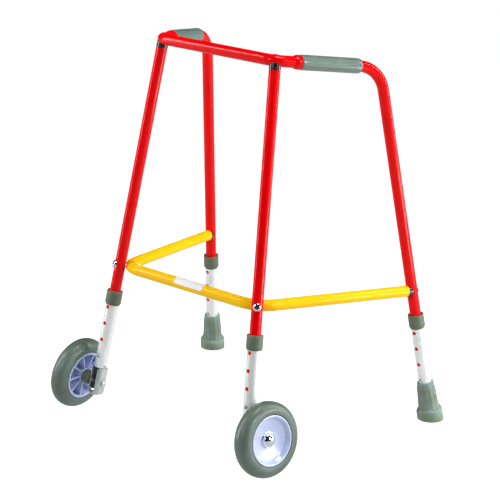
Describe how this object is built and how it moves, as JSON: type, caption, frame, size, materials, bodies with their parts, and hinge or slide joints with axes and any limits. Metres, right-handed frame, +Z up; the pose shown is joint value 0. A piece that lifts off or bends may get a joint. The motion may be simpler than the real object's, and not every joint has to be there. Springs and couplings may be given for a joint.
{
  "type": "walking frame",
  "caption": "Junior walking frame with splayed telescopic legs, a front bar, handles with soft grips, a low U stretcher, cambered front wheels and rear rubber ferrules.",
  "frame": {"origin": "on the floor, under the middle of the bounding box", "axes": "+Z up, -Y towards the front bar and wheels, +Y towards the user, +X towards the right-hand named pieces"},
  "size_m": [0.5608, 0.4718, 0.661],
  "materials": {
    "red_paint": "glossy red lacquer over tube",
    "yellow_paint": "glossy yellow lacquer over tube",
    "aluminium_tube": "bright satin anodised",
    "black_plastic": "glossy black moulding",
    "grip_vinyl": "soft grey-green vinyl, faint sheen",
    "collar_plastic": "dull grey-green moulding",
    "ferrule_rubber": "matt grey-green rubber",
    "tyre_rubber": "smooth grey-green solid rubber",
    "hub_plastic": "pale lavender moulding",
    "chrome": "mirror chrome",
    "zinc_steel": "bright zinc",
    "spring_steel": "plain spring steel",
    "label": "plain white sticker"
  },
  "bodies": {
    "frame": {"top_front_bar": "red_paint", "stretcher_tube": "yellow_paint", "bar_label": "label", "side_tube_left": "red_paint", "grip_left": "grip_vinyl", "stretcher_bolt_left": "chrome", "stretcher_nut_left": "zinc_steel", "rear_saddle_left": "black_plastic", "rear_screw_left": "red_paint", "front_leg_left": "red_paint", "corner_plug_left": "black_plastic", "corner_screw_left": "red_paint", "snap_spring_front_left": "spring_steel", "snap_spring_rear_left": "spring_steel", "side_tube_right": "red_paint", "grip_right": "grip_vinyl", "stretcher_bolt_right": "chrome", "stretcher_nut_right": "zinc_steel", "rear_saddle_right": "black_plastic", "rear_screw_right": "red_paint", "front_leg_right": "red_paint", "corner_plug_right": "black_plastic", "corner_screw_right": "red_paint", "snap_spring_front_right": "spring_steel", "snap_spring_rear_right": "spring_steel"},
    "foot_front_left": {"sleeve_front_left": "aluminium_tube", "collar_front_left": "collar_plastic", "wheel_bracket_left": "zinc_steel", "bracket_core_left": "black_plastic", "bracket_rivet_left": "zinc_steel", "axle_left": "zinc_steel", "axle_cap_left": "chrome", "axle_nut_left": "zinc_steel", "wheel_spacer_left": "collar_plastic"},
    "foot_rear_left": {"sleeve_rear_left": "aluminium_tube", "collar_rear_left": "collar_plastic", "ferrule_left": "ferrule_rubber", "ferrule_washer_left": "zinc_steel"},
    "wheel_left": {"tyre_left": "tyre_rubber", "wheel_hub_left": "hub_plastic"},
    "button_front_left": {"snap_button_front_left": "chrome"},
    "button_rear_left": {"snap_button_rear_left": "chrome"},
    "foot_front_right": {"sleeve_front_right": "aluminium_tube", "collar_front_right": "collar_plastic", "wheel_bracket_right": "zinc_steel", "bracket_core_right": "black_plastic", "bracket_rivet_right": "zinc_steel", "axle_right": "zinc_steel", "axle_cap_right": "chrome", "axle_nut_right": "zinc_steel", "wheel_spacer_right": "collar_plastic"},
    "foot_rear_right": {"sleeve_rear_right": "aluminium_tube", "collar_rear_right": "collar_plastic", "ferrule_right": "ferrule_rubber", "ferrule_washer_right": "zinc_steel"},
    "wheel_right": {"tyre_right": "tyre_rubber", "wheel_hub_right": "hub_plastic"},
    "button_front_right": {"snap_button_front_right": "chrome"},
    "button_rear_right": {"snap_button_rear_right": "chrome"}
  },
  "joints": [
    {"name": "leg_front_left_slide", "type": "slide", "parent": "frame", "child": "foot_front_left", "axis": [-0.0842, -0.1729, -0.9813], "range_m": [0, 0.0882], "deforming": ["snap_button_front_left"]},
    {"name": "button_front_left_press", "type": "slide", "parent": "frame", "child": "button_front_left", "axis": [-0.0148, 0.9849, -0.1722], "range_m": [0, 0.0042], "stiffness_N_per_m": 900, "deforming": ["snap_spring_front_left"]},
    {"name": "leg_rear_left_slide", "type": "slide", "parent": "frame", "child": "foot_rear_left", "axis": [-0.1033, 0.1538, -0.9827], "range_m": [0, 0.0882], "deforming": ["snap_button_rear_left"]},
    {"name": "button_rear_left_press", "type": "slide", "parent": "frame", "child": "button_rear_left", "axis": [0.0161, 0.9881, 0.1529], "range_m": [0, 0.0042], "stiffness_N_per_m": 900, "deforming": ["snap_spring_rear_left"]},
    {"name": "wheel_left_spin", "type": "hinge", "parent": "foot_front_left", "child": "wheel_left", "pos_m": [-0.21675, -0.1734, 0.062], "axis": [0.9893, 0.0432, -0.1392], "continuous": true},
    {"name": "leg_front_right_slide", "type": "slide", "parent": "frame", "child": "foot_front_right", "axis": [0.0842, -0.1729, -0.9813], "range_m": [0, 0.0882], "deforming": ["snap_button_front_right"]},
    {"name": "button_front_right_press", "type": "slide", "parent": "frame", "child": "button_front_right", "axis": [0.0148, 0.9849, -0.1722], "range_m": [0, 0.0042], "stiffness_N_per_m": 900, "deforming": ["snap_spring_front_right"]},
    {"name": "leg_rear_right_slide", "type": "slide", "parent": "frame", "child": "foot_rear_right", "axis": [0.1033, 0.1538, -0.9827], "range_m": [0, 0.0882], "deforming": ["snap_button_rear_right"]},
    {"name": "button_rear_right_press", "type": "slide", "parent": "frame", "child": "button_rear_right", "axis": [-0.0161, 0.9881, 0.1529], "range_m": [0, 0.0042], "stiffness_N_per_m": 900, "deforming": ["snap_spring_rear_right"]},
    {"name": "wheel_right_spin", "type": "hinge", "parent": "foot_front_right", "child": "wheel_right", "pos_m": [0.21675, -0.1734, 0.062], "axis": [0.9845, -0.1069, 0.1392], "continuous": true}
  ]
}
